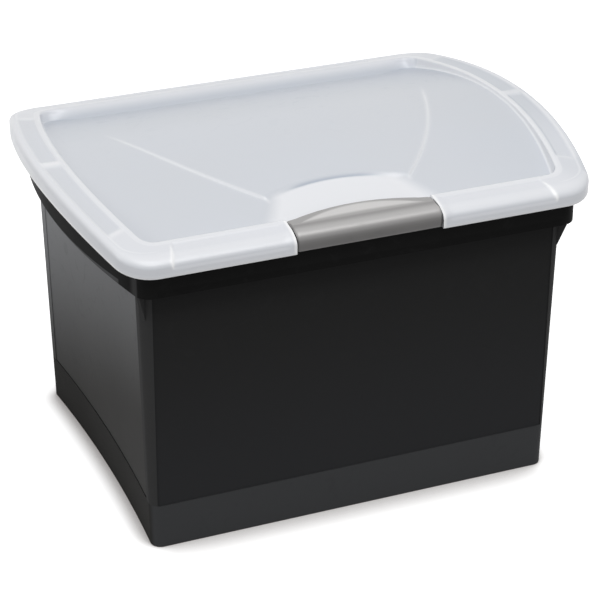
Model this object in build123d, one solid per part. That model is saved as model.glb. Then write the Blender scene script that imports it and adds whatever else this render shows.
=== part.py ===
from build123d import *
import os
from math import atan2, degrees, sqrt

# Portable file box: a black tapered tub, a frosted domed lid hinged along its back rim, and a
# rocker latch at the front. Millimetres. Origin: centre of the underside. +X right, +Y back, +Z up.

# ---- overall size: the lid is the widest piece ----
LID_WIDTH = 470.0          # over the bowed ends
LID_DEPTH = 356.0          # front edge to back edge
RIM_TOP = 286.6            # top of the lid's raised rim, at the front and back edges
ARCH_RISE = 19.6           # how much higher the middle of an end is than its corners
END_BOW = 27.0             # how far each end bows out past its corners
LID_CORNER = 31.5          # plan radius of the lid's corners
half_w = LID_WIDTH / 2
half_d = LID_DEPTH / 2

# ---- heights at the front and back edges; the ends follow the arch above them ----
SKIRT_LOW = RIM_TOP - 15.2         # lower edge of the lid's skirt
TUB_SKIRT_LOW = RIM_TOP - 37.6     # lower edge of the tub's rim, front and back
TUB_SKIRT_MID = TUB_SKIRT_LOW + 6.5    # the same at the middle of each end

# ---- walls and clearances ----
LID_WALL = 2.2
TUB_WALL = 2.5
LATCH_WALL = 2.4
LID_SEAT_GAP = 0.3         # lid above the tub's rim
PIN_GAP = 0.05             # radial running clearance of every hinge pin
SIDE_GAP = 0.7             # latch to each side of its notch
SWING_GAP = 1.5            # middle of the latch's rear edge to the pocket behind it
SWING_END_GAP = 3.2        # its ends, nearer the pins, need more room
PASSAGE_GAP = 0.6          # pocket's walls to the tub's rim

# ---- tub ----
BASE_WIDTH = LID_WIDTH - 91.4      # over the base at the corners
BASE_DEPTH = LID_DEPTH - 54.2
END_DRAFT = 0.018          # outward lean of an end wall, per mm of height
FACE_DRAFT = 0.013         # outward lean of the front and back walls, per mm of height
END_HOLLOW = 6.2           # how far each end wall bows inwards
TUB_CORNER = 9.6
BAND_HEIGHT = 42.0         # smooth band round the foot
PANEL_STEP = 0.8           # textured panels stand back from the band and the corners
COLUMN_FACE = 5.5          # smooth column at each corner, as seen on the front and back
COLUMN_END = 16.0          # and on the ends
PANEL_TOP_Z = RIM_TOP - 30.6
FLOOR = 3.0
FOOT_WIDTH = 22.0          # the box rests on a ring this wide
FOOT_DEPTH = 1.5
BASE_EDGE = 1.2            # rounding of the lowest edge
RIM_INSET = 9.5            # tub's rim inside the lid's outline, front and back
RIM_END_INSET = 13.5       # the same at the ends
RIM_CORNER = 14.0          # plan radius of the rim's corners
LEDGE_Z = RIM_TOP - 26.6   # ledge inside the rim, where file hooks hang
OPENING_WIDTH = LID_WIDTH - 46.0   # mouth above the ledge
OPENING_DEPTH = LID_DEPTH - 31.0
OPENING_BOW = 20.0
OPENING_CORNER = 16.0
LETTER_RAIL = OPENING_DEPTH - 20.0     # clear width between the front and back rails
LEGAL_RAIL = OPENING_WIDTH - 43.0      # clear width between the end rails
RAIL_HEIGHT = 8.0          # hanging rails above the ledge
RAIL_THICK = 2.5
RAIL_END = 24.0            # rails stop this far short of the corners
GUSSET_DROP = 37.0         # webs run out diagonally from this far below the ledge
GUSSET_LEAN = 0.375        # how far a web reaches out, per mm of height
GUSSET_THICK = 2.5

# ---- lid ----
RIM_WIDTH = 28.0           # raised rim, outer edge to inner edge
RIM_ROLL = 5.0             # rounding of the rim's outer top edge
FACE_LEAN = 0.45           # the wall between rim and panel leans this much per mm, front and back
END_LEAN = 0.12            # the same at the ends
RECESS_CORNER = 14.0
PANEL_EDGE_Z = RIM_TOP - 4.9       # panel surface at the foot of the front and back walls
PANEL_MID_Z = RIM_TOP + 16.6       # panel surface at its crown
CHANNEL_DROP = 1.0         # shallow channels along the rim, between its full-height corners
CHANNEL_EDGE = 5.5
CHANNEL_CORNER_Y = 56.0    # the end channels stop this far from the front and back edges
CHANNEL_CORNER_X = 63.0    # the front and back channels stop this far from the ends
DIVIDER = 6.0              # rib left between the two channels of an end
FAN_RISE = 1.7             # raised fan on the panel, at its front edge
FAN_BACK = (155.0, 60.0)   # where the fan's side has sunk into the panel
FAN_SIDE = (121.0, -31.0)
FAN_FRONT = (67.5, 67.0 - half_d)
SCOOP_APEX_Y = 84.0 - half_d       # back of the finger scoop behind the latch
SCOOP_HIGH_Z = RIM_TOP + 7.7
SCOOP_LOW_Z = RIM_TOP - 4.6        # scoop floor where it meets the latch's pocket

# ---- latch ----
LATCH_HALF = 65.3
LATCH_LOW = RIM_TOP - 13.4
LATCH_FRONT_Y = 0.4 - half_d
LATCH_BROW_Z = RIM_TOP + 2.0       # front face and top meet here before rounding
LATCH_BROW_R = 5.5
LATCH_RIDGE = (16.5 - half_d, RIM_TOP + 4.6)
LATCH_REAR_Z = RIM_TOP + 6.0
LATCH_REAR_Y = 37.0 - half_d       # rear edge at the middle
LATCH_REAR_END_Y = 27.0 - half_d   # rear edge at the two ends
PIVOT_Y = 21.0 - half_d
PIVOT_Z = RIM_TOP - 0.2
PIVOT_R = 1.8
PIVOT_REACH = 2.4          # pins reach this far past the latch's ends
BOSS_DROP = 2.4            # end ribs that carry the pins reach this far below them
BOSS_FRONT = 4.2           # and this far in front
BOSS_REAR = 4.5            # and behind
RIB_THICK = 2.4
HOOK_HALF = 36.0
HOOK_THICK = 2.4
BEAD_REACH = 2.6           # bead on the tub's rim, over the latch's hook
BEAD_HALF = 3.2
BEAD_Z = RIM_TOP - 6.6
HOOK_CLEAR = 0.5           # hook to bead, as the stiff latch passes it
POCKET_FLOOR = RIM_TOP - 9.1
POCKET_FRONT_Y = 17.0 - half_d
POCKET_LIP_Z = RIM_TOP - 5.6

# ---- lid hinge along the back rim ----
HINGE_X = 115.0            # centre of each hinge
HINGE_Y = half_d - 3.2
HINGE_Z = RIM_TOP - 14.1
HINGE_PIN_R = 1.6
HINGE_RING = 3.0           # outside radius of the clips and knuckles
CLIP_WIDTH = 16.0
CLIP_GAP = 1.5             # clip to each side of its notch in the lid's skirt
CLIP_MOUTH = (-15.0, 105.0)
CLIP_ROOT_DROP = 11.0
KNUCKLE = 3.0

FAR = LID_WIDTH            # longer than anything it cuts
end_radius = (END_BOW**2 + half_d**2) / (2 * END_BOW)
tub_rim_top = RIM_TOP - LID_WALL - LID_SEAT_GAP
tub_rim_y = half_d - RIM_INSET
foot_wall = TUB_WALL + PANEL_STEP
gusset_low = LEDGE_Z - GUSSET_DROP
ridge_y = half_d - RIM_WIDTH
notch_half = LATCH_HALF + SIDE_GAP


def arch_z(y, edge_y, edge_z, mid_z):
    """Height at depth y of an arc through (edge_y, edge_z) at both edges and mid_z in the middle."""
    rise = mid_z - edge_z
    radius = (rise**2 + edge_y**2) / (2 * rise)
    return mid_z - radius + sqrt(radius**2 - y**2)


def rise_at(y):
    """Height of the rim's arch at depth y, above its front and back edges."""
    return arch_z(y, half_d, 0, ARCH_RISE)


def under_arch(edge_y, edge_z, mid_z):
    """Everything under an arch that spans front to back; it runs the full width."""
    rise = mid_z - edge_z
    radius = (rise**2 + edge_y**2) / (2 * rise)
    return Pos(0, 0, mid_z - radius) * Rot(0, 90, 0) * Cylinder(radius, 2 * FAR)


def under_rim(level):
    """Everything under the rim's arch when it stands at level over the front and back edges."""
    return under_arch(half_d, level, level + ARCH_RISE)


def plan(width_half, depth_half, radius, corner, z=0.0):
    """Plan face: straight front and back, ends on arcs (hollow if radius < 0), round corners."""
    centre = width_half - radius
    side = 1 if radius > 0 else -1
    corner_x = centre + side * sqrt(radius**2 - depth_half**2)
    right = ThreePointArc((corner_x, -depth_half), (width_half, 0), (corner_x, depth_half))
    back = Line((corner_x, depth_half), (-corner_x, depth_half))
    left = ThreePointArc((-corner_x, depth_half), (-width_half, 0), (-corner_x, -depth_half))
    front = Line((-corner_x, -depth_half), (corner_x, -depth_half))
    face = make_face([right, back, left, front])
    return Pos(0, 0, z) * fillet(face.vertices(), corner)


def lid_prism(inset):
    """Upright prism on the lid's outline, shrunk evenly by inset."""
    return extrude(plan(half_w - inset, half_d - inset, end_radius - inset, LID_CORNER - inset), FAR)


def bar(x_range, y_range, z_range):
    """Block between two values on each axis."""
    size = [high - low for low, high in (x_range, y_range, z_range)]
    middle = [(high + low) / 2 for low, high in (x_range, y_range, z_range)]
    return Pos(*middle) * Box(*size)


def side_profile(points, x_from, x_to):
    """Prism along X on a Y-Z polygon."""
    face = make_face(Polyline(*points, close=True))
    return Pos(x_from, 0, 0) * extrude(Plane.YZ * face, x_to - x_from)


def rod(radius, x_from, x_to, y, z):
    """Round bar along X."""
    return Pos((x_from + x_to) / 2, y, z) * Rot(0, 90, 0) * Cylinder(radius, x_to - x_from)


def both_ends(x_from, x_to):
    """The X range and its mirror image."""
    return [(x_from, x_to), (-x_to, -x_from)]


# ---------------------------------------------------------------- tub

def tub_plan(inset, z):
    """Outline of the tapered tub at height z, shrunk by inset."""
    corner_half = BASE_WIDTH / 2 + END_DRAFT * z
    depth_half = BASE_DEPTH / 2 + FACE_DRAFT * z
    hollow_radius = -(END_HOLLOW**2 + depth_half**2) / (2 * END_HOLLOW)
    middle = corner_half - END_HOLLOW - inset
    return plan(middle, depth_half - inset, hollow_radius - inset, TUB_CORNER - inset, z)


def tub_block(inset, low, high):
    """Tapered solid between two heights."""
    return loft([tub_plan(inset, low), tub_plan(inset, high)], ruled=True)


def opening_prism(grow):
    """Prism on the mouth above the ledge, grown outwards."""
    depth_half = OPENING_DEPTH / 2
    radius = (OPENING_BOW**2 + depth_half**2) / (2 * OPENING_BOW)
    face = plan(OPENING_WIDTH / 2 + grow, depth_half + grow, radius + grow, OPENING_CORNER + grow)
    return extrude(face, FAR)


def panel_windows():
    """Blocks that mark the textured panel of each of the four faces."""
    x_half = BASE_WIDTH / 2 - COLUMN_FACE
    y_half = BASE_DEPTH / 2 - COLUMN_END
    across = bar((-x_half, x_half), (-FAR, FAR), (BAND_HEIGHT, PANEL_TOP_Z))
    along = bar((-FAR, FAR), (-y_half, y_half), (BAND_HEIGHT, PANEL_TOP_Z))
    return across + along


def hanging_rails():
    """Two pairs of upright rails on the ledge: letter files hang front to back, legal files across."""
    rails = []
    z_range = (LEDGE_Z - TUB_WALL, LEDGE_Z + RAIL_HEIGHT)
    x_end = BASE_WIDTH / 2 - RAIL_END
    y_end = BASE_DEPTH / 2 - RAIL_END
    for side in (-1, 1):
        y_pair = sorted((side * LETTER_RAIL / 2, side * (LETTER_RAIL / 2 + RAIL_THICK)))
        x_pair = sorted((side * LEGAL_RAIL / 2, side * (LEGAL_RAIL / 2 + RAIL_THICK)))
        rails.append(bar((-x_end, x_end), y_pair, z_range))
        rails.append(bar(x_pair, (-y_end, y_end), z_range))
    return rails


def rim_prism(inset):
    """Upright prism on the outline of the tub's rim."""
    gap = RIM_END_INSET + inset
    face = plan(half_w - gap, half_d - RIM_INSET - inset, end_radius - gap, RIM_CORNER - inset)
    return extrude(face, FAR)


def corner_gussets():
    """A diagonal web under the rim at each corner, inside the rim's outer face."""
    z_high = LEDGE_Z - TUB_WALL / 2
    wall_x = BASE_WIDTH / 2 + END_DRAFT * gusset_low - TUB_CORNER
    wall_y = BASE_DEPTH / 2 + FACE_DRAFT * gusset_low - TUB_CORNER
    reach = GUSSET_LEAN * (z_high - gusset_low)
    points = [(TUB_CORNER - foot_wall, gusset_low - foot_wall), (TUB_CORNER, gusset_low),
              (TUB_CORNER + reach, z_high), (TUB_CORNER - foot_wall, z_high)]
    web = extrude(Plane.XZ * make_face(Polyline(*points, close=True)), GUSSET_THICK / 2, both=True)
    webs = []
    for side_x in (-1, 1):
        for side_y in (-1, 1):
            heading = degrees(atan2(side_y, side_x))
            webs.append(Pos(side_x * wall_x, side_y * wall_y, 0) * Rot(0, 0, heading) * web)
    return [web & rim_prism(TUB_WALL / 2) for web in webs]


def latch_bead():
    """Bead on the front of the rim, behind the latch's hook."""
    root = TUB_WALL / 2 - tub_rim_y
    points = [(root, BEAD_Z - BEAD_HALF), (-tub_rim_y - BEAD_REACH, BEAD_Z), (root, BEAD_Z + BEAD_HALF)]
    return side_profile(points, -HOOK_HALF, HOOK_HALF)


def hinge_clip(x):
    """Clip on the back of the rim that wraps round a pin of the lid."""
    ends = (x - CLIP_WIDTH / 2, x + CLIP_WIDTH / 2)
    root = tub_rim_y - TUB_WALL / 2
    low = HINGE_Z - CLIP_ROOT_DROP
    arm = side_profile([(root, low), (tub_rim_y, low), (HINGE_Y, HINGE_Z - HINGE_RING),
                        (HINGE_Y, HINGE_Z), (root, HINGE_Z)], *ends)
    clip = arm + rod(HINGE_RING, *ends, HINGE_Y, HINGE_Z)
    mouth = [(HINGE_Y, HINGE_Z)]
    for angle in (CLIP_MOUTH[0], sum(CLIP_MOUTH) / 2, CLIP_MOUTH[1]):
        ray = Vector(3 * HINGE_RING, 0).rotate(Axis.Z, angle)
        mouth.append((HINGE_Y + ray.X, HINGE_Z + ray.Y))
    clip -= side_profile(mouth, *ends)
    return clip - rod(HINGE_PIN_R + PIN_GAP, *ends, HINGE_Y, HINGE_Z)


def make_tub():
    """Tapered tub with its rim, ledge, hanging rails, gussets and hinge clips."""
    above_ledge = bar((-FAR, FAR), (-FAR, FAR), (LEDGE_Z, FAR))
    above_flange = bar((-FAR, FAR), (-FAR, FAR), (LEDGE_Z - TUB_WALL, FAR))
    body = tub_block(0, 0, LEDGE_Z)
    body = fillet(body.faces().sort_by(Axis.Z)[0].edges(), BASE_EDGE)
    body -= (tub_block(0, 0, LEDGE_Z) - tub_block(PANEL_STEP, 0, LEDGE_Z)) & panel_windows()
    collar = opening_prism(TUB_WALL) & under_rim(tub_rim_top) & above_flange
    rim = rim_prism(0) & under_rim(tub_rim_top)
    flange = rim - under_rim(tub_rim_top - TUB_WALL)
    skirt = rim - rim_prism(TUB_WALL) - under_arch(half_d, TUB_SKIRT_LOW, TUB_SKIRT_MID)
    tub = body + collar + flange + skirt
    tub -= opening_prism(0) & above_ledge
    tub += corner_gussets()
    tub -= tub_block(foot_wall, FLOOR + FOOT_DEPTH, LEDGE_Z + TUB_WALL)
    tub += hanging_rails()
    tub += latch_bead()
    tub += [hinge_clip(x) for x in (-HINGE_X, HINGE_X)]
    return tub - foot_recess()


def foot_recess():
    """Shallow hollow under the floor that leaves a ring to stand on."""
    width = BASE_WIDTH - 2 * FOOT_WIDTH
    depth = BASE_DEPTH - 2 * FOOT_WIDTH
    return extrude(RectangleRounded(width, depth, TUB_CORNER), FOOT_DEPTH)


# ---------------------------------------------------------------- lid

def recess_plan(z, grow):
    """Outline of the panel's recess at height z; it opens out going up."""
    depth_half = ridge_y + FACE_LEAN * (z - RIM_TOP - rise_at(ridge_y)) + grow
    width_half = half_w - RIM_WIDTH + END_LEAN * (z - RIM_TOP - ARCH_RISE) + grow
    return plan(width_half, depth_half, end_radius - RIM_WIDTH, RECESS_CORNER + grow, z)


def recess(grow):
    """The recess as a leaning block."""
    return loft([recess_plan(SKIRT_LOW, grow), recess_plan(RIM_TOP + 2 * ARCH_RISE, grow)], ruled=True)


def panel_z(y):
    """Height of the panel's surface at depth y."""
    return arch_z(y, ridge_y, PANEL_EDGE_Z, PANEL_MID_Z)


def under_panel(drop):
    """Everything under the panel's surface, lowered by drop."""
    return under_arch(ridge_y, PANEL_EDGE_Z - drop, PANEL_MID_Z - drop)


def fan(inset, drop):
    """Column under the raised fan, whose top sinks into the panel towards the back."""
    points = [(FAN_BACK[0] - inset, FAN_BACK[1]), (FAN_SIDE[0] - inset, FAN_SIDE[1]),
              (FAN_FRONT[0] - inset, FAN_FRONT[1] + inset)]
    right = ThreePointArc(*points)
    left = ThreePointArc(*[(-x, y) for x, y in points])
    outline = [right, Line(right @ 1, left @ 1), left, Line(left @ 0, right @ 0)]
    column = extrude(make_face(outline), FAR)
    stations = (FAN_FRONT[1], (FAN_FRONT[1] + FAN_BACK[1]) / 2, FAN_BACK[1])
    slope = FAN_RISE / (FAN_BACK[1] - FAN_FRONT[1])
    crest = ThreePointArc(*[(y, panel_z(y) + slope * (FAN_BACK[1] - y) - drop) for y in stations])
    foot = Polyline(crest @ 0, (stations[0], 0), (stations[2], 0), crest @ 1)
    return column & extrude(Plane.YZ * make_face([crest, foot]), FAR, both=True)


def scoop(grow, drop):
    """Column over the finger scoop's sloping floor, which is lowered by drop."""
    side_x = FAN_FRONT[0] + grow
    side_y = FAN_FRONT[1] + grow
    back = ThreePointArc((-side_x, side_y), (0, SCOOP_APEX_Y + grow), (side_x, side_y))
    sides = Polyline(back @ 1, (side_x, -ridge_y), (-side_x, -ridge_y), back @ 0)
    column = extrude(make_face([back, sides]), FAR)
    pocket_y = LATCH_REAR_Y + SWING_GAP
    slope = (SCOOP_HIGH_Z - SCOOP_LOW_Z) / (SCOOP_APEX_Y - pocket_y)
    reach = half_d / 2
    incline = side_profile([(SCOOP_APEX_Y - reach, SCOOP_HIGH_Z - drop - slope * reach),
                            (SCOOP_APEX_Y + reach, SCOOP_HIGH_Z - drop + slope * reach),
                            (SCOOP_APEX_Y + reach, FAR), (SCOOP_APEX_Y - reach, FAR)], -FAR, FAR)
    return column & incline


def rear_arc_column(half, end_gap, gap):
    """Column from the front edge back to the latch's bowed rear edge."""
    front = -half_d - RIM_WIDTH
    end_y = LATCH_REAR_END_Y + end_gap
    back = ThreePointArc((-half, end_y), (0, LATCH_REAR_Y + gap), (half, end_y))
    sides = Polyline(back @ 1, (half, front), (-half, front), back @ 0)
    return extrude(make_face([back, sides]), FAR)


def rolled(block, radius):
    """The block with its top edges rounded."""
    return fillet(block.faces().sort_by(Axis.Z)[-1].edges(), radius)


def rim_channels():
    """Shallow channels along the rim; the corners and one rib on each end stay full height."""
    ring = lid_prism(CHANNEL_EDGE) - lid_prism(RIM_WIDTH - CHANNEL_EDGE) - under_rim(RIM_TOP - CHANNEL_DROP)
    inner = half_w - END_BOW - LID_CORNER
    low, high = RIM_TOP - CHANNEL_DROP, FAR
    face_x = half_w - CHANNEL_CORNER_X
    windows = [bar((-face_x, face_x), (0, FAR), (low, high))]
    for x_range in both_ends(notch_half + CHANNEL_EDGE, face_x):
        windows.append(bar(x_range, (-FAR, 0), (low, high)))
    for x_range in both_ends(inner, FAR):
        for y_range in both_ends(DIVIDER / 2, half_d - CHANNEL_CORNER_Y):
            windows.append(bar(x_range, y_range, (low, high)))
    return [ring & window for window in windows]


def latch_pocket(outside):
    """Walls and floor that the lid carries round the latch, clear of the tub's rim."""
    everywhere = (-FAR, FAR)
    walls = rear_arc_column(notch_half + LID_WALL, SWING_END_GAP + LID_WALL, SWING_GAP + LID_WALL) & outside
    walls -= bar((-notch_half, notch_half), (-FAR, POCKET_FRONT_Y), everywhere)
    walls -= bar(everywhere, (POCKET_FRONT_Y, FAR), (0, POCKET_FLOOR - LID_WALL))
    walls -= bar(everywhere, (-FAR, POCKET_FRONT_Y), everywhere) & under_rim(SKIRT_LOW)
    passage = bar(everywhere, (-tub_rim_y - PASSAGE_GAP, PASSAGE_GAP - OPENING_DEPTH / 2), everywhere)
    return walls - (passage & under_rim(RIM_TOP - LID_WALL))


def pocket_space():
    """Room for the latch inside its pocket, with a low lip left along the front."""
    column = rear_arc_column(notch_half, SWING_END_GAP, SWING_GAP)
    behind_lip = bar((-FAR, FAR), (POCKET_FRONT_Y + LID_WALL, FAR), (POCKET_FLOOR, FAR))
    over_lip = bar((-FAR, FAR), (-FAR, FAR), (POCKET_LIP_Z, FAR))
    in_front = bar((-FAR, FAR), (-FAR, POCKET_FRONT_Y), (0, FAR))
    return column & (behind_lip + over_lip + in_front)


def lid_knuckles():
    """Pins of the lid and the knuckles that hold them, one pair to each hinge."""
    parts = []
    notch = CLIP_WIDTH / 2 + CLIP_GAP
    for x in (-HINGE_X, HINGE_X):
        parts.append(rod(HINGE_PIN_R, x - notch, x + notch, HINGE_Y, HINGE_Z))
        for x_from, x_to in both_ends(notch, notch + KNUCKLE):
            parts.append(rod(HINGE_RING, x + x_from, x + x_to, HINGE_Y, HINGE_Z))
    return parts


def clip_notches():
    """Gaps in the lid's back skirt where the tub's clips reach the pins."""
    notch = CLIP_WIDTH / 2 + CLIP_GAP
    z_range = (0, HINGE_Z + HINGE_RING + CLIP_GAP)
    return [bar((x - notch, x + notch), (tub_rim_y, FAR), z_range) for x in (-HINGE_X, HINGE_X)]


def make_lid():
    """Domed lid: rolled rim and skirt, recessed panel with its fan and scoop, pocket and pins."""
    outside = rolled(lid_prism(0) & under_rim(RIM_TOP), RIM_ROLL)
    inside = rolled(lid_prism(LID_WALL) & under_rim(RIM_TOP - LID_WALL), RIM_ROLL - LID_WALL)
    lid = outside - under_rim(SKIRT_LOW) - inside
    lid += (recess(LID_WALL) - under_panel(LID_WALL)) & outside
    lid += latch_pocket(outside)
    lid -= recess(0) - under_panel(0)
    lid += fan(0, 0) - under_panel(LID_WALL)
    lid -= fan(LID_WALL, LID_WALL)
    scoop_shell = scoop(LID_WALL, LID_WALL) & under_panel(0)
    lid += scoop_shell - rear_arc_column(notch_half, SWING_END_GAP, SWING_GAP)
    lid -= scoop(0, 0) & recess(0)
    lid -= pocket_space()
    lid -= rim_channels()
    lid -= clip_notches()
    lid += lid_knuckles()
    for x_from, x_to in both_ends(LATCH_HALF, notch_half + 2 * LID_WALL):
        lid -= rod(PIVOT_R + PIN_GAP, x_from, x_to, PIVOT_Y, PIVOT_Z)
    return lid


# ---------------------------------------------------------------- latch

def latch_block(inset):
    """Latch profile over its full width, shrunk by inset, open below and behind."""
    front = LATCH_FRONT_Y + inset
    points = [(front, LATCH_LOW), (front, LATCH_BROW_Z - inset), (LATCH_RIDGE[0], LATCH_RIDGE[1] - inset),
              (LATCH_REAR_Y, LATCH_REAR_Z - inset), (LATCH_REAR_Y, LATCH_LOW)]
    face = make_face(Polyline(*points, close=True))
    brow = face.vertices().sort_by_distance(points[1])[0]
    face = Plane.YZ * fillet(brow, LATCH_BROW_R - inset)
    return extrude(face, LATCH_HALF, both=True)


def make_latch():
    """Rocker latch: bent cover, end ribs with pivot pins, and a hook along its lower edge."""
    cover = latch_block(0) & rear_arc_column(LATCH_HALF, 0, 0)
    latch = cover - latch_block(LATCH_WALL)
    hook_tip = -tub_rim_y - BEAD_REACH - HOOK_CLEAR
    for x_from, x_to in both_ends(LATCH_HALF - RIB_THICK, LATCH_HALF):
        front = bar((x_from, x_to), (LATCH_FRONT_Y, hook_tip), (LATCH_LOW, FAR))
        boss = bar((x_from, x_to), (PIVOT_Y - BOSS_FRONT, PIVOT_Y + BOSS_REAR), (PIVOT_Z - BOSS_DROP, FAR))
        latch += cover & (front + boss)
    for x_from, x_to in both_ends(LATCH_HALF - RIB_THICK, LATCH_HALF + PIVOT_REACH):
        latch += rod(PIVOT_R, x_from, x_to, PIVOT_Y, PIVOT_Z)
    z_range = (LATCH_LOW, LATCH_LOW + HOOK_THICK)
    latch += bar((-HOOK_HALF, HOOK_HALF), (LATCH_FRONT_Y + LATCH_WALL, hook_tip), z_range)
    return latch


os.makedirs("parts", exist_ok=True)
for name, shape in (("tub", make_tub()), ("lid", make_lid()), ("latch", make_latch())):
    export_step(shape, f"parts/{name}.step")
    print(name, len(shape.solids()), round(shape.volume), shape.bounding_box())
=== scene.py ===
import math
import bpy
import bmesh
import numpy as np
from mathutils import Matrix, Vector


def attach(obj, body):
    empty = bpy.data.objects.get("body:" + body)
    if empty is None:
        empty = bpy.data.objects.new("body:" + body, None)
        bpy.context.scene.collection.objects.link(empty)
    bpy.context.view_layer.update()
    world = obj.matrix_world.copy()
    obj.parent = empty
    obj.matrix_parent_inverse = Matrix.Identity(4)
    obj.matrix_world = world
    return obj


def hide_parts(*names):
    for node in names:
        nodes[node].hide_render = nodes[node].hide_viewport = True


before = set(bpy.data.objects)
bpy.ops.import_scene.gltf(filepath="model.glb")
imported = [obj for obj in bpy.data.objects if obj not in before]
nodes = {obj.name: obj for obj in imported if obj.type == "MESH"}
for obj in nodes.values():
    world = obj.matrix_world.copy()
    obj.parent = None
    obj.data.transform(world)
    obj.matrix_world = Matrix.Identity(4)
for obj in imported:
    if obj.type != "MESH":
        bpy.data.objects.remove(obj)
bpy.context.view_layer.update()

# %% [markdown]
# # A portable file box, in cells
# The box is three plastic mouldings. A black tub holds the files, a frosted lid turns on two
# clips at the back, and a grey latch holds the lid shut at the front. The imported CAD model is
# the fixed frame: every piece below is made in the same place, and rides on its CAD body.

scene = bpy.context.scene

# %% [markdown]
# ## Camera
# The photograph is taken from in front and to the left, about 27 degrees above the desk, with a
# long lens. The place and direction below come from fitting the box's own edges.

# %% Camera
CAMERA_PLACE = Vector((-0.67413, -1.66717, 1.05021))
CAMERA_AIM = Vector((0.33791, 0.82440, -0.45407))
LENS_MM = 131.55

bpy.ops.object.camera_add(location=CAMERA_PLACE)
camera = bpy.context.object
camera.rotation_euler = CAMERA_AIM.to_track_quat("-Z", "Y").to_euler()
camera.data.lens = LENS_MM
camera.data.sensor_width = 36.0
camera.data.clip_end = 20.0
scene.camera = camera
print("camera distance:", round(CAMERA_PLACE.length, 3), "m")

# %% [markdown]
# ## Helpers for sheets
# A moulded cover is thin, so each one starts as a flat grid. The grid is bent onto the shape by a
# formula, which keeps its rows and columns along the real creases. Two masks go with it in a UV
# map: u is the tone, from grey panel to light rim, and v marks the still lighter edges; both also
# carry painted light and painted shade.

# %% Sheet helpers
MM = 0.001


def bent_sheet(name, place, u, v):
    """A grid whose points are moved to place (rows, columns, 3) in mm; u and v are its masks."""
    rows, columns = place.shape[:2]
    bpy.ops.object.select_all(action="DESELECT")
    bpy.ops.mesh.primitive_grid_add(x_subdivisions=columns - 1, y_subdivisions=rows - 1, size=1)
    piece = bpy.context.object
    piece.name = name
    mesh = piece.data
    mesh.vertices.foreach_set("co", (place.reshape(-1, 3) * MM).ravel())
    corner_vertex = np.empty(len(mesh.loops), dtype=np.int32)
    mesh.loops.foreach_get("vertex_index", corner_vertex)
    masks = np.stack([u.ravel(), v.ravel()], axis=1)[corner_vertex]
    mesh.uv_layers[0].name = "masks"
    mesh.uv_layers[0].data.foreach_set("uv", masks.astype(np.float32).ravel())
    mesh.update()
    return piece


def smooth_step(low, high, value):
    """0 below low, 1 above high, and a soft ramp between them."""
    t = np.clip((value - low) / (high - low), 0, 1)
    return t * t * (3 - 2 * t)

# %% [markdown]
# ## The lid's outline and heights
# Seen from above the lid has straight front and back edges and bowed ends. Seen from an end it
# arches up. The rim and the panel inside it follow two different arches, so the step between
# them is deep at the front and back and shallow at the ends.

# %% Lid outline
HALF_W, HALF_D = 234.97, 178.0      # a hair inside the CAD lid
END_BOW = 27.0      # how far the ends swell out
END_RADIUS = (END_BOW**2 + HALF_D**2) / (2 * END_BOW)
LID_CORNER, RIDGE_CORNER = 31.5, 14.0
RIDGE = 28.0        # from the outline in to the ridge round the panel
RIDGE_HALF_D = HALF_D - RIDGE
RIM_TOP, ARCH_RISE, SKIRT = 286.6, 19.59, 15.2
PANEL_LOW, PANEL_RISE = 281.7, 21.5
FOOT_R, FACE_LEAN, END_LEAN = 2.0, 0.45, 0.12
BACK_FOOT, BACK_TOP = 18.0, 3.5     # reach of the back wall in front of and behind the ridge
BACK_BLEND = 28.0   # the soft wall fades out over this width at the corners
STRAIGHT = 70.0     # columns run straight to the front edge up to here


def arch(y, edge, low, rise):
    """Height at depth y of an arc that stands on low at both edges."""
    radius = (rise**2 + edge**2) / (2 * rise)
    return low + rise - radius + np.sqrt(radius**2 - y**2)


def rim_height(y):
    return arch(y, HALF_D, RIM_TOP, ARCH_RISE)


def panel_height(y):
    return arch(y, RIDGE_HALF_D, PANEL_LOW, PANEL_RISE)


def back_foot(x):
    """How far the foot of the wall stands in from the ridge along the back, at x."""
    plain = FOOT_R + FACE_LEAN * (rim_height(RIDGE_HALF_D) - panel_height(RIDGE_HALF_D))
    edge = corner_data(RIDGE)[0]
    share = smooth_step(edge, edge - BACK_BLEND, np.abs(x))
    return plain + (BACK_FOOT - plain) * share, share


def corner_data(inset):
    """Tangent point, radius and end angle of the rounded corner, for each inset."""
    corner = LID_CORNER + (RIDGE_CORNER - LID_CORNER) * inset / RIDGE
    centre = HALF_W - END_RADIUS
    y = HALF_D - inset - corner
    x = centre + np.sqrt((END_RADIUS - inset - corner)**2 - y**2)
    return x, y, corner, centre, np.arctan2(y, x - centre)


def outline(kind, side_x, side_y, value, inset):
    """Plan points and outward normals of the stations on the outline, shrunk by inset.

    A station's kind is 0 on the front or back face, 1 on a corner and 2 on an end.
    """
    x, y, corner, centre, end_angle = corner_data(inset)
    turn = np.pi / 2 - value * (np.pi / 2 - end_angle)
    swing = value * end_angle
    foot_x = corner_data(RIDGE)[0]
    spread = (x - STRAIGHT) / (foot_x - STRAIGHT)
    far = np.abs(value)
    along = np.where(far < STRAIGHT, far, STRAIGHT + (far - STRAIGHT) * spread)
    face, bend = kind == 0, kind == 1
    end_r = END_RADIUS - inset
    px = np.where(bend, x + corner * np.cos(turn), centre + end_r * np.cos(swing))
    py = np.where(bend, y + corner * np.sin(turn), end_r * np.sin(swing))
    px, py = np.where(face, along, px), np.where(face, HALF_D - inset, py)
    nx = np.where(face, 0.0, np.where(bend, np.cos(turn), np.cos(swing)))
    ny = np.where(face, 1.0, np.where(bend, np.sin(turn), np.sin(swing)))
    flip_x = np.where(face, np.sign(value), side_x)
    flip_y = np.where(kind == 2, 1.0, side_y)
    return px * flip_x, py * flip_y, nx * flip_x, ny * flip_y


print("crowns: rim", round(float(rim_height(0.0)), 2), "panel", round(float(panel_height(0.0)), 2))

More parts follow.
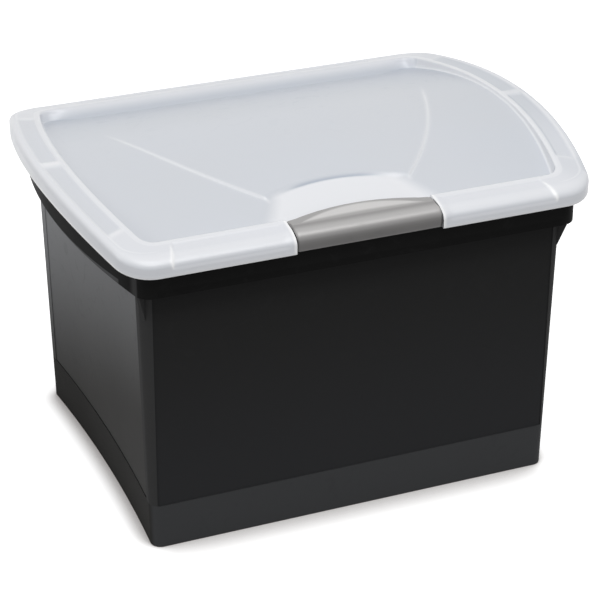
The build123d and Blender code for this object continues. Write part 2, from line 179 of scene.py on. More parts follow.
# %% [markdown]
# ## Stations round the rim
# The same stations serve the rim and the panel: the panel's columns end at the front and back
# stations, its rows at the end ones. They crowd together where the moulding has a crease: at the
# ribs across the rim, at the side of the raised fan, and at the finger scoop behind the latch.

# %% Stations
FAN_EDGE_X = (155, 143, 131.5, 121, 110, 92, 73, 67)
FAN_EDGE_Y = (58, 28, -6, -30, -52, -75, -99, -110)
FAN_CURVE = np.polyfit(FAN_EDGE_Y, FAN_EDGE_X, 3)
FAN_BACK_Y, FAN_FRONT_Y = 58.0, -110.0
FAN_TAPER = -0.22           # behind the fan its columns close in this much per mm
NOTCH = 66.0                # half width of the latch's notch
NOTCH_Y = -132.0            # the columns reach that width here
WEDGE_X = 165.5             # the front channel ends here
COLUMN_END_Y = 146.0        # the foot of the wall, front and back
FINE, COARSE, COARSE_ROW = 0.55, 2.9, 3.0
FINE_OUT, FINE_ROW = 0.6, 0.75


def spaced(start, stop, places, fine, coarse):
    """Positions from start to stop that crowd together near the places."""
    at = [start]
    while at[-1] < stop:
        near = min(abs(at[-1] - place) for place in places)
        at.append(at[-1] + min(coarse, fine + 0.2 * near))
    at = np.array(at)
    return start + (at - start) * (stop - start) / (at[-1] - start)


def fan_x(y):
    """Half width of the fan at depth y, carried on to the back wall and to the latch's notch."""
    inside = np.polyval(FAN_CURVE, np.clip(y, FAN_FRONT_Y, FAN_BACK_Y))
    back = np.maximum(y - FAN_BACK_Y, 0) * FAN_TAPER
    front = (inside - NOTCH) * smooth_step(FAN_FRONT_Y, NOTCH_Y, y)
    return inside + back - front


foot_x = corner_data(RIDGE)[0]
fan_foot_x = fan_x(-COLUMN_END_Y)
wedge_column = 100.0 + 100.0 * (WEDGE_X - fan_foot_x) / (foot_x - fan_foot_x)
columns_in = spaced(0.0, 100.0, (100.0, 87.0), FINE, COARSE)
columns_out = spaced(100.0, 200.0, (100.0, wedge_column), FINE_OUT, COARSE)
half_columns = np.concatenate([columns_in, columns_out[1:]])
columns = np.concatenate([-half_columns[:0:-1], half_columns])

END_STATIONS_Y = 131.0
CREASE_ROWS = (-125.0, -122.0, FAN_FRONT_Y, -3.0, 3.0, 122.0, 125.0)
end_values = spaced(-END_STATIONS_Y, END_STATIONS_Y, CREASE_ROWS, FINE_ROW, COARSE_ROW)
end_values = end_values / END_STATIONS_Y
corner_values = np.linspace(0, 1, 11)[1:-1]


def column_x(q, y, width):
    """x of column q (0 middle, 100 side of the fan, 200 foot of the end wall) in a row."""
    line = fan_x(y)
    inner = np.abs(q) / 100.0 * line
    outer = line + (width - line) * (np.abs(q) - 100.0) / 100.0
    return np.sign(q) * np.where(np.abs(q) <= 100.0, inner, outer)


right = [(1, 1, -1, v) for v in corner_values] + [(2, 1, 0, v) for v in end_values]
right += [(1, 1, 1, v) for v in corner_values[::-1]]
front_x = column_x(columns, -COLUMN_END_Y, foot_x)
back_x = column_x(columns, COLUMN_END_Y, foot_x)
front = [(0, 1, -1, x) for x in front_x]
back = [(0, 1, 1, x) for x in back_x]
left = [(kind, -side_x, side_y, value) for kind, side_x, side_y, value in right]
loop = np.array(front + right + back[::-1] + left[::-1] + front[:1], dtype=float).T
kind, side_x, side_y, value = loop
print("columns:", len(columns), "rows:", len(right) + 2, "stations:", loop.shape[1] - 1)

# %% [markdown]
# ## Channels in the rim
# The rim's top is pressed down a millimetre in long shallow channels, which stiffen it. They stop
# at ribs, and at the front the channel runs out over the roll near the corners, where thin wedges
# of painted highlight are laid on it. Every station gets a share from 0 to 1 that says how far it
# is pressed.

# %% Channels
CHANNEL = 1.15
FRONT_START = (71.0, 73.5)      # the front channel starts beside the latch
FRONT_END = (WEDGE_X + 0.6, WEDGE_X - 1.8)
BACK_END = (145.0, 142.0)
MIDDLE_RIB, END_RIB = (3.0, 7.5), (126.0, 120.0)

ridge_x, ridge_y, nx, ny = outline(kind, side_x, side_y, value, np.full(kind.shape, RIDGE))
on_face, on_end = kind == 0, kind == 2
is_face = ny**2
at_back = is_face * (ny > 0)
at_front = is_face * (ny < 0)
front_side = at_front * on_face
beside, along_end = np.abs(ridge_x * on_face), np.abs(ridge_y)
front_share = smooth_step(*FRONT_START, beside) * smooth_step(*FRONT_END, beside)
back_share = smooth_step(*BACK_END, beside)
end_share = smooth_step(*MIDDLE_RIB, along_end) * smooth_step(*END_RIB, along_end)
face_share = np.where(ny < 0, front_share, back_share)
channel = np.where(on_face, face_share, np.where(on_end, end_share, 0.0))
print("stations in a channel:", int((channel > 0.5).sum()))

# %% [markdown]
# ## Tones of the rim
# The rim is greyer inside a channel, and the ribs get painted highlights. In the photograph the
# right end of the lid gets less light than the left one. The lamps alone don't show that, so its
# channels and corners get painted shade as well.

# %% Rim tones
PANEL_TONE, BACK_SHADE_TONE = 0.3, -0.22
CHANNEL_TONE, FAR_SHADE_TONE, CORNER_SHADE_TONE = 0.5, 0.5, 0.45
RIB_HIGHLIGHT, RIB_WIDE = 0.5, 5.5
END_RIB_Y, END_RIB_HIGHLIGHT, END_RIB_WIDE = 124.5, 0.8, 3.0
FAR_FROM, FAR_TO = -110.0, 0.0

far_end = on_end * (side_x > 0)
# Painted highlights on the ribs, weaker at the right end.
end_rib = END_RIB_HIGHLIGHT * np.exp(-((along_end - END_RIB_Y) / END_RIB_WIDE)**2)
painted_glow = np.exp(-(ridge_y / RIB_WIDE)**2) + end_rib
painted_glow = RIB_HIGHLIGHT * painted_glow * on_end * (1 - 0.5 * far_end)
# The channels are greyer; at the right end they and the corners get painted shade.
far_channel = far_end * channel
deepening = CHANNEL_TONE + FAR_SHADE_TONE * far_channel * smooth_step(FAR_FROM, FAR_TO, ridge_y)
channel_tone = deepening * channel * (1 - front_side) * (1 - at_back)
far_corner_shade = CORNER_SHADE_TONE * np.maximum(nx, 0.0)**2 * (1 - channel)
print("darkest channel tone:", round(float(1 - channel_tone.max()), 2))


def wedge_highlight(wide):
    """A painted highlight at the end of the front channel, this wide in mm."""
    return np.exp(-((beside - WEDGE_X) / wide)**2) * front_side

# %% [markdown]
# ## Wall and ridge
# From inside out the rim has a soft foot, a leaning wall and a rounded ridge. Each is one or more
# closed levels of points round the lid. Along the back the wall is much softer, so there the
# levels are drawn out into a long S-curve.

# %% Wall and ridge
FOOT_RISE = 0.95
LEAN_LEVELS, RIDGE_TURNS = (0.35, 0.7), (0, 30, 60, 90)
FOOT_CURVE = ((1.0, 0.0), (0.75, 0.04), (0.5, 0.15), (0.25, 0.42), (0.0, 1.0))
RIDGE_SOFT, FACE_SOFT = 1.2, 1.8
BACK_RAMP = (0.25, 0.85)
levels = []


def add_level(inset, height, press_out, press, u, v):
    """One level: plan inset, height over the rim's top, and how it yields to the channel."""
    x, y, lx, ly = outline(kind, side_x, side_y, value, np.minimum(inset, RIDGE))
    over = np.maximum(inset - RIDGE, 0)
    x, y = x - lx * over, y - ly * over
    z = rim_height(y) + height
    depth = CHANNEL * channel * press
    x, y = x - lx * depth * press_out, y - ly * depth * press_out
    z = z - depth * np.sqrt(1 - press_out**2)
    levels.append((x, y, z, u + 0 * x, v + 0 * x))


lean = END_LEAN + (FACE_LEAN - END_LEAN) * is_face
lean_in = lean * (rim_height(ridge_y) - panel_height(ridge_y))
soft = RIDGE_SOFT + FACE_SOFT * is_face
back_in, at_wall = back_foot(beside)
at_wall = at_wall * on_face * (ny > 0)
foot_depth = along_end - np.abs(ny) * (lean_in + FOOT_R)
foot_depth = np.where(at_wall > 0, RIDGE_HALF_D - back_in, foot_depth)
foot_z = panel_height(foot_depth) - rim_height(foot_depth)
wall_foot = foot_z + FOOT_RISE
wall = []
# The foot of the wall gets painted light against the shade in its crease.
for share, climb in FOOT_CURVE:
    inset, height = RIDGE + lean_in + FOOT_R * share, foot_z + FOOT_RISE * climb
    wall.append((inset, height, PANEL_TONE, 0.2 * (1 - share)))
for share in LEAN_LEVELS:
    inset, height = RIDGE + lean_in * (1 - share), wall_foot - (soft + wall_foot) * share
    wall.append((inset, height, 0.5, 0.15))
# The rounded ridge gets a painted highlight.
for turn in RIDGE_TURNS:
    across, up = 1 - math.cos(math.radians(turn)), math.sin(math.radians(turn))
    wall.append((RIDGE - soft * across, -soft * (1 - up), 0.85, 0.35 * up))
for step, (inset, height, u, v) in enumerate(wall):
    t = step / (len(wall) - 1)
    back_inset = RIDGE + BACK_FOOT - (BACK_FOOT + BACK_TOP) * t
    back_height = foot_z * (1 - t * t * (3 - 2 * t))
    # Along the back the wall gets painted shade; at the right end it gets painted light and a
    # painted highlight.
    back_shade_tone = BACK_SHADE_TONE + (1.0 - BACK_SHADE_TONE) * smooth_step(*BACK_RAMP, t)
    u = u + (back_shade_tone - u) * at_back + (1.0 - u) * far_end * t
    v = (v + 0.3 * far_end * math.sin(math.pi * t)) * (1 - at_back)
    inset = inset + (back_inset - inset) * at_wall
    add_level(inset, height + (back_height - height) * at_wall, 0.0, 0.0, u, v)
print("wall levels:", len(levels), "foot:", round(float(foot_z.min()), 2), "mm from the rim's top")

# %% [markdown]
# ## Top of the rim
# The flat top is pressed down over a few levels on the inner side of the channel and comes up
# again before the edge, except at the front, where the channel carries on over the roll.

# %% Top of the rim
INNER_SIDE = ((24.6, 0.0), (23.6, 0.06), (22.8, 0.3), (22.0, 0.7), (21.2, 0.95), (20.4, 1.0))
FRONT_SHIFT, BACK_SHIFT = 1.2, 2.2
OUTER_SIDE = (1.0, 0.95, 0.7, 0.3, 0.06, 0.0)
EDGE_FLAT, EDGE_SLOPE, FRONT_SQUEEZE = 0.6, 3.4, 0.7
ROLL, ROLL_FRONT, ROLL_FRONT_DROP = 5.5, 13.0, 6.3
GROOVE_SHADE = 1.1

roll = ROLL + (ROLL_FRONT - ROLL) * at_front
roll_drop = ROLL + (ROLL_FRONT_DROP - ROLL) * at_front
# At the right end the groove and the corners get painted shade; the ribs and the front wedges get
# painted highlights.
for inset, press in INNER_SIDE:
    groove_shade = GROOVE_SHADE * far_channel * 4 * press * (1 - press)
    inset = np.full(kind.shape, inset) - FRONT_SHIFT * at_front - BACK_SHIFT * at_back
    u = 1.0 - channel_tone * press - groove_shade - far_corner_shade * press
    v = 0.2 * (press < 0.5) * (1 - 0.6 * groove_shade) + painted_glow * press + 0.25 * wedge_highlight(0.8) * press
    add_level(inset, 0.0, 0.0, press, u, v)
for rise in OUTER_SIDE:
    inset = roll + (EDGE_FLAT + EDGE_SLOPE * rise) * (1 - FRONT_SQUEEZE * at_front)
    u = 1.0 - channel_tone * rise - far_corner_shade
    v = 0.25 * (rise < 0.5) * (1 - front_side) + painted_glow * rise + wedge_highlight(0.9)
    add_level(inset, 0.0, 0.0, np.maximum(rise, front_side), u, v)
print("levels up to the rim's edge:", len(levels))

# %% [markdown]
# ## Roll, skirt and lip
# The edge rolls over into the skirt, which hangs straight down and ends in a small lip. At the
# front the roll is much wider. The roll and the skirt get painted shade as they turn down, and the
# lip gets a painted highlight, so it is the lightest line.

# %% Roll, skirt and lip
LIP_R, LIP_TURNS = 0.9, (40, 90)
ROLL_TURNS = (0, 12, 24, 36, 48, 60, 75, 90)
SKIRT_SHARES = (0.12, 0.24, 0.36, 0.5, 0.75, 1.0)
ROLL_SHADE, FRONT_ROLL_SHADE, FAR_ROLL_SHADE = 0.3, 0.15, 0.6

# The roll gets painted shade as it turns down, most at the front and the right end, and a painted
# highlight along its upper part.
for turn in ROLL_TURNS:
    a = math.radians(turn)
    down, out = math.cos(a), math.sin(a)
    u = 1.0 - (ROLL_SHADE + FRONT_ROLL_SHADE * at_front) * out**3
    u = u - FAR_ROLL_SHADE * far_end * out - far_corner_shade * down
    v = 0.3 * down * math.sin(2 * a) * (1 - far_end)
    v = np.maximum(wedge_highlight(1.0 + 1.2 * math.sin(2 * a)), v)
    add_level(roll * (1 - out), -roll_drop * (1 - down), out, front_side * (1 - 0.4 * out), u, v)
lip = SKIRT - LIP_R
on_edge = 0.0 * roll
# The skirt gets painted shade lower down and a painted highlight just above the lip; the lip is
# painted lightest.
for share in SKIRT_SHARES:
    fade = smooth_step(0.4, 0.0, share)
    v = wedge_highlight(1.0) * fade + 0.6 * smooth_step(0.6, 1.0, share)
    height = -roll_drop - (lip - roll_drop) * share
    add_level(on_edge, height, 1.0, 0.6 * front_side * fade, 0.85 - 0.2 * share, v)
for turn in LIP_TURNS:
    a = math.radians(turn)
    add_level(LIP_R * (1 - math.cos(a)) + on_edge, -lip - LIP_R * math.sin(a), 1.0, 0.0, 1.0, 1.0)
print("levels down to the lip:", len(levels))

# %% [markdown]
# ## The rim as one sheet
# All levels together are one closed ring. The cut edge at the latch's notch shows the thickness of
# the plastic, and it gets a painted highlight as well.

# %% Rim sheet
NOTCH_HIGHLIGHT = (69.5, 67.0)
ring = np.array([np.stack(level[:3], axis=1) for level in levels])
ring_u = np.array([level[3] for level in levels])
ring_v = np.array([level[4] for level in levels])
at_x, at_y = ring[..., 0], ring[..., 1]
# The notch's cut edge gets a painted highlight.
notch_highlight = smooth_step(*NOTCH_HIGHLIGHT, np.abs(at_x)) * (at_y < -152)
ring_v = np.maximum(ring_v, notch_highlight)
rim = bent_sheet("lid", ring, ring_u, ring_v)
print("rim levels:", ring.shape[0], "lowest", round(ring[..., 2].min(), 2), "mm")

# %% [markdown]
# ## Grid of the panel
# The panel is one domed sheet that joins the rim's innermost level point by point. Along the back
# its rows give way to the soft wall. Round the finger scoop they bend, so that one of them runs
# along the crescent where the scoop begins.

# %% Panel grid
SCOOP_APEX_Y, SCOOP_HALF = -94.0, 67.5
SCOOP_REACH = -30.0         # the rows in front of this bend with the crescent
ROW_GAP = 0.4               # least distance of rows that are pushed forward by the back wall

count = len(columns)
right_foot = ring[0][count - 1:count + len(right) + 1]
row_x, row_y = right_foot[:, 0], right_foot[:, 1]
Y = np.repeat(row_y[:, None], count, axis=1)
X = np.stack([column_x(columns, y, x) for x, y in zip(row_x, row_y)])
X[0], X[-1] = front_x, back_x
back_row_y = RIDGE_HALF_D - back_foot(back_x)[0]
rows_left = (len(row_y) - 1 - np.arange(len(row_y)))[:, None]
pushed = np.abs(back_x) < foot_x - 1e-6
Y = np.minimum(Y, back_row_y[None, :] - ROW_GAP * rows_left * pushed)
crescent_row = row_y[np.argmin(np.abs(row_y - FAN_FRONT_Y))]
bend = (SCOOP_APEX_Y - crescent_row) * np.clip(1 - (X / SCOOP_HALF)**2, 0, 1)
before = smooth_step(row_y[0], crescent_row, Y)**0.7
hold = np.where(Y < crescent_row, before, smooth_step(SCOOP_REACH, crescent_row, Y))
Y = Y + bend * hold
crescent_y = crescent_row + bend
print("panel rows:", len(row_y), "crescent from", round(float(crescent_row), 1), "to", SCOOP_APEX_Y)

# %% [markdown]
# ## Relief of the panel
# A low fan is raised on the dome, 1.7 mm high at the front and sinking into the dome at the back.
# In front of it the finger scoop falls away in a straight slope towards the latch, behind a fine
# crease. A small gate mark in the middle shows where the plastic was fed into the mould.

# %% Panel relief
FAN_RISE, FAN_SOFT = 1.7, 1.3
SCOOP_TOP, SCOOP_LOW, SCOOP_LONG = 294.3, 282.0, 45.5
SCOOP_SOFT, SCOOP_SPREAD, SCOOP_SIDE, SCOOP_FOOT = 0.8, 0.55, 17.0, 5.0
CREASE_DEEP, CREASE_WIDE, CREASE_SHIFT = 0.6, 0.9, 0.2
CREASE_ENDS = (58.0, 25.0)
GATE_X, GATE_Y, GATE_HIGH, GATE_EDGE = -5.0, -7.0, 0.35, (3.4, 2.0)

fan_edge = fan_x(Y) - np.abs(X)
behind = smooth_step(-SCOOP_SOFT, SCOOP_SOFT, Y - crescent_y)
fan_high = FAN_RISE * np.clip((FAN_BACK_Y - Y) / (FAN_BACK_Y - FAN_FRONT_Y), 0, 1)
Z = panel_height(Y) + fan_high * smooth_step(-FAN_SOFT, FAN_SOFT, fan_edge) * behind
scoop_z = SCOOP_TOP + (SCOOP_TOP - SCOOP_LOW) / SCOOP_LONG * (Y - SCOOP_APEX_Y)
side = SCOOP_HALF + SCOOP_SPREAD * np.maximum(FAN_FRONT_Y - Y, 0)
in_scoop = (1 - behind) * smooth_step(side, side - SCOOP_SIDE, np.abs(X))
in_scoop = in_scoop * smooth_step(row_y[0], row_y[0] + SCOOP_FOOT, Y)
Z = Z + (np.minimum(scoop_z, Z) - Z) * in_scoop
crease = np.exp(-((Y - crescent_y + CREASE_SHIFT) / CREASE_WIDE)**2)
crease = crease * smooth_step(*CREASE_ENDS, np.abs(X))
Z = Z - CREASE_DEEP * crease
Z = Z + GATE_HIGH * smooth_step(*GATE_EDGE, np.hypot(X - GATE_X, Y - GATE_Y))
print("panel crown:", round(Z.max(), 2), "mm")

# %% [markdown]
# ## Tones of the panel
# The panel is one wall of frosted plastic over the dark inside, so it is greyer than the rim, and
# it gets painted shade towards the back and a little towards the right. The scoop gets painted
# light, as light as the rim. The side of the fan gets a painted highlight line and the crease a
# painted line of shade.

# %% Panel sheet
LINE_WIDE, LINE_BACK, LINE_FRONT = 2.0, (66.0, 20.0), (-116.0, -108.0)
LINE_HIGHLIGHT, SCOOP_PAINTED_LIGHT, CREASE_SHADE = 0.42, 0.35, 1.5
BACK_SHADE_FADE, RIGHT_SHADE_FADE, RIGHT_SHADE = (30.0, 118.0), (90.0, 200.0), 0.16

# The side of the fan gets a painted highlight line.
line = np.exp(-(fan_edge / LINE_WIDE)**2)
line = line * smooth_step(*LINE_BACK, Y) * smooth_step(*LINE_FRONT, Y)
# The scoop gets painted light; the crease, the back and the right get painted shade.
panel_u = PANEL_TONE + (1.0 - PANEL_TONE) * in_scoop - CREASE_SHADE * crease
panel_u -= (PANEL_TONE - BACK_SHADE_TONE) * smooth_step(*BACK_SHADE_FADE, Y)
panel_u -= RIGHT_SHADE * smooth_step(*RIGHT_SHADE_FADE, X)
panel_v = LINE_HIGHLIGHT * line + SCOOP_PAINTED_LIGHT * in_scoop * (1 - crease)
panel = bent_sheet("panel", np.stack([X, Y, Z], axis=2), panel_u, panel_v)
print("panel tone from", round(float(panel_u.min()), 2), "to", round(float(panel_u.max()), 2))

# %% [markdown]
# ## Joining the sheets
# The border of the panel and the innermost level of the rim have the same points, so merging the
# doubles leaves one sheet. Its only open edge is the lip, with one edge for each station.

# %% Joined sheet
def select_only(*objects):
    """Makes these the only selected objects, the first one active."""
    bpy.ops.object.select_all(action="DESELECT")
    for piece in objects:
        piece.select_set(True)
    bpy.context.view_layer.objects.active = objects[0]


def clean(piece, distance=0.00002):
    """Merges doubles and turns every normal outwards."""
    select_only(piece)
    bpy.ops.object.mode_set(mode="EDIT")
    bpy.ops.mesh.select_all(action="SELECT")
    bpy.ops.mesh.remove_doubles(threshold=distance)
    bpy.ops.mesh.normals_make_consistent(inside=False)
    bpy.ops.object.mode_set(mode="OBJECT")


def joined(*objects):
    """One object out of several; it keeps the first one's name."""
    select_only(*objects)
    bpy.ops.object.join()
    return bpy.context.object


def turn_up(mesh):
    """Turns the mesh's normals over if its topmost face looks down."""
    if max(mesh.polygons, key=lambda f: f.center.z).normal.z < 0:
        mesh.flip_normals()


lid = joined(rim, panel)
clean(lid, 0.00003)
turn_up(lid.data)
form = bmesh.new()
form.from_mesh(lid.data)
lip_edges = sum(edge.is_boundary for edge in form.edges)
print("lid sheet faces:", len(form.faces), "open edges:", lip_edges, "of", len(loop[0]) - 1)

# %% [markdown]
# ## Cutting the notches
# The sheet is cut out at the front for the latch, along a bowed line, and at the back for the
# tub's two clips. Its faces are first sliced along the notches, so that the cuts come out clean.

# %% Notches
NOTCH_END_Y, NOTCH_MIDDLE_Y = -147.8, -139.5
ARC_FRONT, ARC_BACK = -152.0, -136.0        # faces between these lie on the bowed line
CLIP_X, CLIP_HALF, CLIP_Y, CLIP_TOP = 115.0, 9.5, 168.5, 277.0
CLIP_NEAR_X, CLIP_NEAR_Y = 6.0, 166.0


def centre(face):
    """Centre of a face in mm."""
    return face.calc_center_median() / MM


def slice_faces(faces, point, normal):
    """Cuts these faces of the form along a plane given in mm."""
    edges = {edge for face in faces for edge in face.edges}
    verts = {vert for face in faces for vert in face.verts}
    bmesh.ops.bisect_plane(form, geom=list(faces) + list(edges) + list(verts), dist=1e-7,
                           plane_co=Vector(point) * MM, plane_no=normal)


def rear_arc(x, half, end_y, middle_y):
    """Depth at x of the bowed line through (half, end_y) and (0, middle_y)."""
    sag = middle_y - end_y
    radius = (half**2 + sag**2) / (2 * sag)
    return middle_y - radius + np.sqrt(radius**2 - x**2)


def notch_back(x):
    return rear_arc(x, NOTCH, NOTCH_END_Y, NOTCH_MIDDLE_Y)


def cut_away(face):
    """True for the sheet inside the latch's notch and inside the clips' notches."""
    x, y, z = centre(face)
    latch_notch = abs(x) < NOTCH and y < notch_back(min(abs(x), NOTCH))
    clip_notch = abs(abs(x) - CLIP_X) < CLIP_HALF and y > CLIP_Y and z < CLIP_TOP
    return latch_notch or clip_notch


strips = front_x[np.abs(front_x) < NOTCH + 0.01]
near_arc = [[] for _ in strips[1:]]
for face in form.faces:
    x, y, z = centre(face)
    if abs(x) < NOTCH and ARC_FRONT < y < ARC_BACK:
        near_arc[int(np.searchsorted(strips, x)) - 1].append(face)
for faces, x0, x1 in zip(near_arc, strips, strips[1:]):
    y0, y1 = notch_back(x0), notch_back(x1)
    slice_faces(faces, (x0, y0, 0), (y0 - y1, x1 - x0, 0))
for x in (-CLIP_X - CLIP_HALF, -CLIP_X + CLIP_HALF, CLIP_X - CLIP_HALF, CLIP_X + CLIP_HALF):
    rear = [face for face in form.faces if centre(face).y > CLIP_NEAR_Y]
    slice_faces([f for f in rear if abs(centre(f).x - x) < CLIP_NEAR_X], (x, 0, 0), (1, 0, 0))
rear = [face for face in form.faces if centre(face).y > CLIP_NEAR_Y]
by_clips = [f for f in rear if abs(abs(centre(f).x) - CLIP_X) < CLIP_HALF]
slice_faces(by_clips, (0, 0, CLIP_TOP), (0, 0, 1))
gone = [face for face in form.faces if cut_away(face)]
print("faces cut away:", len(gone))
bmesh.ops.delete(form, geom=gone, context="FACES")

# %% [markdown]
# ## Pocket for the latch
# The edge of the latch's notch is drawn straight down, and a flat floor closes the pocket from its
# back to just in front of the latch's pivot. There it ends in a low lip, which stiffens it. In
# front of the pocket the walls go down a little further, beside the latch's face.

# %% Pocket
POCKET_FLOOR, POCKET_FRONT, POCKET_LIP = 277.5, -161.0, 3.5
POCKET_MIDDLE_Y, FLOOR_END_Y, FRONT_WALL_Z = -160.0, -155.0, 272.2
EDGE_FRONT, EDGE_BACK = -177.9, -135.0


def on_notch(vert):
    """True for a point on the edge of the latch's notch, down to where the skirt starts."""
    return abs(vert.co.x) < (NOTCH + 0.05) * MM and EDGE_FRONT * MM < vert.co.y < EDGE_BACK * MM


def of_kind(kind, found):
    """The parts of one kind, vertices or faces, in what an operator found."""
    return [part for part in found if isinstance(part, kind)]


def paint(face, u, v):
    """Gives all corners of a face these masks."""
    for corner in face.loops:
        corner[masks].uv = (u, v)


masks = form.loops.layers.uv["masks"]
rim_edges = [e for e in form.edges if e.is_boundary and all(on_notch(v) for v in e.verts)]
walls = bmesh.ops.extrude_edge_only(form, edges=rim_edges)["geom"]
for vert in of_kind(bmesh.types.BMVert, walls):
    vert.co.z = (POCKET_FLOOR if vert.co.y > POCKET_FRONT * MM else FRONT_WALL_Z) * MM
for face in of_kind(bmesh.types.BMFace, walls):
    paint(face, 0.8, 0.3)
low = [v for v in form.verts if abs(v.co.z - POCKET_FLOOR * MM) < 1e-7 and on_notch(v)]
low.sort(key=lambda v: math.atan2(v.co.x, v.co.y - POCKET_MIDDLE_Y * MM))
pocket_floor = form.faces.new(low)
paint(pocket_floor, 0.5, 0.0)
front_edge = [e for e in pocket_floor.edges
              if e.is_boundary and all(v.co.y < FLOOR_END_Y * MM for v in e.verts)]
pocket_lip = bmesh.ops.extrude_edge_only(form, edges=front_edge)["geom"]
raised = of_kind(bmesh.types.BMVert, pocket_lip)
bmesh.ops.translate(form, verts=raised, vec=(0, 0, POCKET_LIP * MM))
bmesh.ops.recalc_face_normals(form, faces=form.faces)
print("points round the pocket's floor:", len(low), "points on its lip:", len(raised))

# %% [markdown]
# ## Thickness and hinge pins
# The sheet gets the wall thickness of the moulding, measured inwards. The hinge pins and their
# knuckles are the CAD's own, because they have to fit the tub's clips.

# %% Lid solid
WALL = 2.2
SMOOTH_ANGLE = math.radians(35)
KNUCKLE_HALF, KNUCKLE_FRONT, KNUCKLE_TOP = 12.7, 171.0, 275.7


def thicken(piece):
    """Gives a sheet the wall thickness of the mouldings."""
    select_only(piece)
    wall = piece.modifiers.new("wall", "SOLIDIFY")
    wall.thickness, wall.offset = WALL * MM, -1.0
    bpy.ops.object.modifier_apply(modifier=wall.name)


def part_of_node(node, keep):
    """A copy of a CAD mesh cut down to the faces whose centre (mm) passes keep."""
    piece = nodes[node].copy()
    piece.data = nodes[node].data.copy()
    bpy.context.collection.objects.link(piece)
    for slot in list(piece.data.uv_layers):
        piece.data.uv_layers.remove(slot)
    clean(piece)
    form = bmesh.new()
    form.from_mesh(piece.data)
    gone = [face for face in form.faces if not keep(*centre(face))]
    bmesh.ops.delete(form, geom=gone, context="FACES")
    form.to_mesh(piece.data)
    form.free()
    clean(piece)
    return piece


def with_works(sheet, node, keep, u, v):
    """The sheet joined with small parts of its CAD node, which get the masks u and v."""
    works = part_of_node(node, keep)
    layer = works.data.uv_layers.new(name="masks")
    layer.data.foreach_set("uv", np.tile((u, v), len(works.data.loops)).astype(np.float32))
    whole = joined(sheet, works)
    whole.name = f"{node}_moulding"
    bpy.ops.object.shade_smooth_by_angle(angle=SMOOTH_ANGLE)
    print(whole.name, "triangles:", sum(len(f.vertices) - 2 for f in whole.data.polygons))
    return whole


def inside_lid(x, y, z):
    """The hinge pins and knuckles of the CAD lid."""
    return abs(abs(x) - CLIP_X) < KNUCKLE_HALF and y > KNUCKLE_FRONT and z < KNUCKLE_TOP


form.to_mesh(lid.data)
form.free()
turn_up(lid.data)
thicken(lid)
lid = with_works(lid, "lid", inside_lid, 0.8, 0.1)
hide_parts("lid")
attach(lid, "lid")

# %% [markdown]
# ## Sections of the latch
# The latch is a bent cover with a bowed rear edge. Its top carries a lens-shaped facet between a
# straight ridge and an arched crest. In front of the ridge the surface dips, rises to a soft brow,
# and rolls over into the front face. Every section across it is a row of points, each with a depth,
# a height and a tone; the tones paint highlights on the lens and the brow, and shade and a dark
# reflection on the front face.

# %% Latch sections
LATCH_HALF, LATCH_REAR, LATCH_REAR_END = 65.3, -141.0, -151.0
RIDGE_Y, RIDGE_Z = -161.5, 291.2
LENS_HALF, LENS_DEEP, LENS_BULGE, CREST_SLOPE = 56.0, 17.0, 0.035, 0.06
# The lens gets a painted highlight and the rear edge painted shade.
LENS_DARK, LENS_HIGHLIGHT = 0.52, 0.75
REAR_EDGE = ((0.0, 1.3, 0.3), (0.35, 0.4, 0.45))
# The third number of each point is its tone: a painted highlight on the brow, painted shade and a
# dark painted reflection on the front face.
FRONT_CURVE = (
    (-162.2, 290.9, 0.42), (-163.2, 290.55, 0.38), (-164.8, 290.32, 0.42), (-166.6, 290.2, 0.5),
    (-168.6, 290.08, 0.6), (-170.6, 289.82, 0.66), (-172.5, 289.3, 0.66), (-174.1, 288.5, 0.62),
    (-175.4, 287.4, 0.55), (-176.4, 285.9, 0.42), (-177.0, 284.2, 0.3), (-177.4, 282.2, 0.12),
    (-177.55, 280.0, 0.05), (-177.5, 277.6, 0.02), (-177.3, 275.4, 0.02), (-177.0, 274.0, 0.06),
    (-176.6, 273.3, 0.1))


def latch_profile(x):
    """The latch's section at x, from its rear edge round to its lower edge."""
    rear_y = rear_arc(min(abs(x), LATCH_HALF), LATCH_HALF, LATCH_REAR_END, LATCH_REAR)
    lens = max(0.0, 1 - (x / LENS_HALF)**2)
    crest_y = min(RIDGE_Y + 0.8 + LENS_DEEP * lens, rear_y - 2.0)
    crest_z = RIDGE_Z + CREST_SLOPE * (crest_y - RIDGE_Y)
    rear_z = crest_z - 0.5 - CREST_SLOPE * (rear_y - crest_y)
    points = [(rear_y - back, rear_z - down, tone) for back, down, tone in REAR_EDGE]
    for t in np.linspace(0.1, 1, 5):
        y = rear_y + (crest_y + 0.4 - rear_y) * t
        points.append((y, rear_z + (crest_z - rear_z) * t, 0.5))
    span = crest_y - RIDGE_Y
    for t in np.linspace(0.03, 1, 10):
        z = crest_z + (RIDGE_Z - crest_z) * t + LENS_BULGE * span * math.sin(math.pi * t)
        tone = LENS_DARK + LENS_HIGHLIGHT * lens**0.5 * math.sin(math.pi * min(1.0, t * 1.1))
        points.append((crest_y - span * t, z, tone))
    return points + list(FRONT_CURVE)


print("points in a latch section:", len(latch_profile(0.0)))

# %% [markdown]
# ## Latch sheet
# The sections stand close together at both ends, where each one is pulled inwards along its own
# normals. That rounds the ends off, and the ends get painted shade. The sheet then gets its wall
# thickness. The hook, the end ribs and the pivot pins are the CAD's own, because they have to fit
# the lid's pocket.

# %% Latch sheet
END_ROUND, END_PULL, END_SHADE = 2.6, 0.7, 0.25
EVEN_HALF = 60.0
LATCH_MIDDLE = (-160.0, 280.0)      # depth and height of a point inside every section
HOOK_TOP, HOOK_HALF, HOOK_FRONT = 276.2, 37.0, -175.3
BOSS_X, BOSS_TOP, BOSS_FRONT, BOSS_BACK = 62.0, 289.0, -161.5, -152.0


